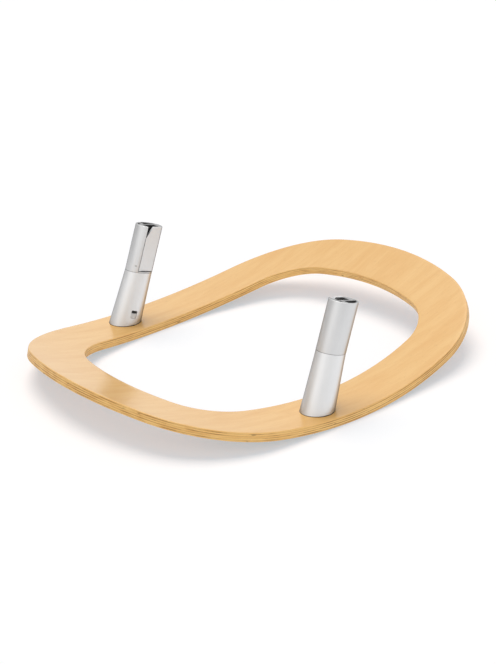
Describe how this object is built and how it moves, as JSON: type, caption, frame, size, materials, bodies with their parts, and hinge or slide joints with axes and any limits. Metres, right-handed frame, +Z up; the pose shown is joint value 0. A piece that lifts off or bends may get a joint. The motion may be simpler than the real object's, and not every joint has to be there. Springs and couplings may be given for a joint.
{
  "type": "rocking seat base",
  "caption": "Bent plywood ring that rocks on the floor, with two leaning metal posts whose latching sockets take a detachable seat.",
  "frame": {"origin": "midway between the ring's two ends and its two sides, at the level of the floor", "axes": "+X along the ring towards its wide end, to which the posts lean; +Y towards the back post; +Z up"},
  "size_m": [0.5724, 0.495, 0.1499],
  "materials": {
    "plywood": "clear satin lacquer on pale birch veneer",
    "post": "fine satin",
    "spigot": "as machined",
    "tongue": "matt light grey",
    "gasket": "matt black",
    "hardware": "plated",
    "spring": "spring strip"
  },
  "bodies": {
    "base": {"rocker_board": "plywood", "foot_gaskets": "gasket", "mounting_screws": "hardware", "flap_pins": "hardware", "back_mounting_spigot": "spigot", "back_foot_sleeve": "post", "back_lock_spring": "spring", "back_spring_plug": "tongue", "back_seat_head": "post", "back_flap_spring": "spring", "front_mounting_spigot": "spigot", "front_foot_sleeve": "post", "front_lock_spring": "spring", "front_spring_plug": "tongue", "front_seat_head": "post", "front_flap_spring": "spring"},
    "back_lock": {"back_lock_tongue": "tongue"},
    "front_lock": {"front_lock_tongue": "tongue"},
    "back_flap": {"back_latch_flap": "post"},
    "front_flap": {"front_latch_flap": "post"}
  },
  "joints": [
    {"name": "back_lock_push", "type": "slide", "parent": "base", "child": "back_lock", "axis": [0.2051, 0.9751, -0.0837], "range_m": [0, 0.0036], "stiffness_N_per_m": 200, "springref_m": -0.002, "deforming": ["back_lock_spring"]},
    {"name": "front_lock_push", "type": "slide", "parent": "base", "child": "front_lock", "axis": [0.2051, -0.9751, -0.0837], "range_m": [0, 0.0036], "stiffness_N_per_m": 200, "springref_m": -0.002, "deforming": ["front_lock_spring"]},
    {"name": "back_flap_hinge", "type": "hinge", "parent": "base", "child": "back_flap", "pos_m": [-0.03095, 0.1976, 0.0903], "axis": [0.9259, 0, -0.3778], "range_deg": [0, 5], "stiffness_Nm_per_rad": 0.02, "springref_deg": -9.74, "deforming": ["back_flap_spring"]},
    {"name": "front_flap_hinge", "type": "hinge", "parent": "base", "child": "front_flap", "pos_m": [-0.03095, -0.1976, 0.0903], "axis": [-0.9259, 0, 0.3778], "range_deg": [0, 5], "stiffness_Nm_per_rad": 0.02, "springref_deg": -9.74, "deforming": ["front_flap_spring"]}
  ]
}
